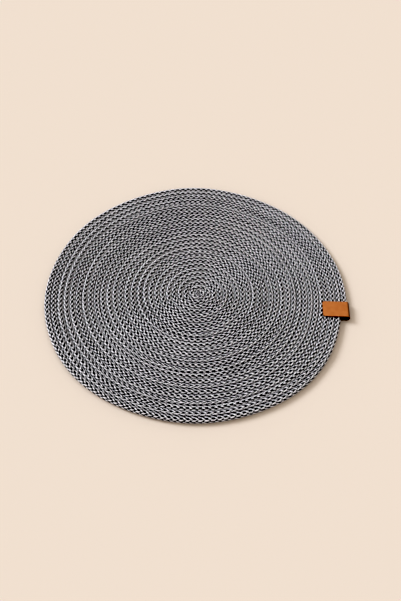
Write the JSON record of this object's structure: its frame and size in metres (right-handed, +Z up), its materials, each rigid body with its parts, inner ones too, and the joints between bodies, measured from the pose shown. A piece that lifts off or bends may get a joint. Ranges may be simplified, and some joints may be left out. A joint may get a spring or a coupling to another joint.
{
  "type": "round coiled cord placemat with a folded leather tag",
  "caption": "Round flat table mat wound from two-tone braided cord in one coil, with a small plain leather tag folded over its rim.",
  "frame": {"origin": "on the table under the middle of the mat's outline, at the centre of the flat underside", "axes": "+Z up, out of the mat's top face; +X towards the side of the rim that holds the tag; +Y away from the viewer of the picture"},
  "size_m": [0.364, 0.36, 0.0079],
  "materials": {
    "braid": "matt two-tone braided cotton cord, near black and light grey",
    "leather": "smooth tan leather with a soft sheen, darker at the fold and the cut edges"
  },
  "bodies": {
    "root": {"mat": "braid", "tag": "leather"}
  },
  "joints": []
}
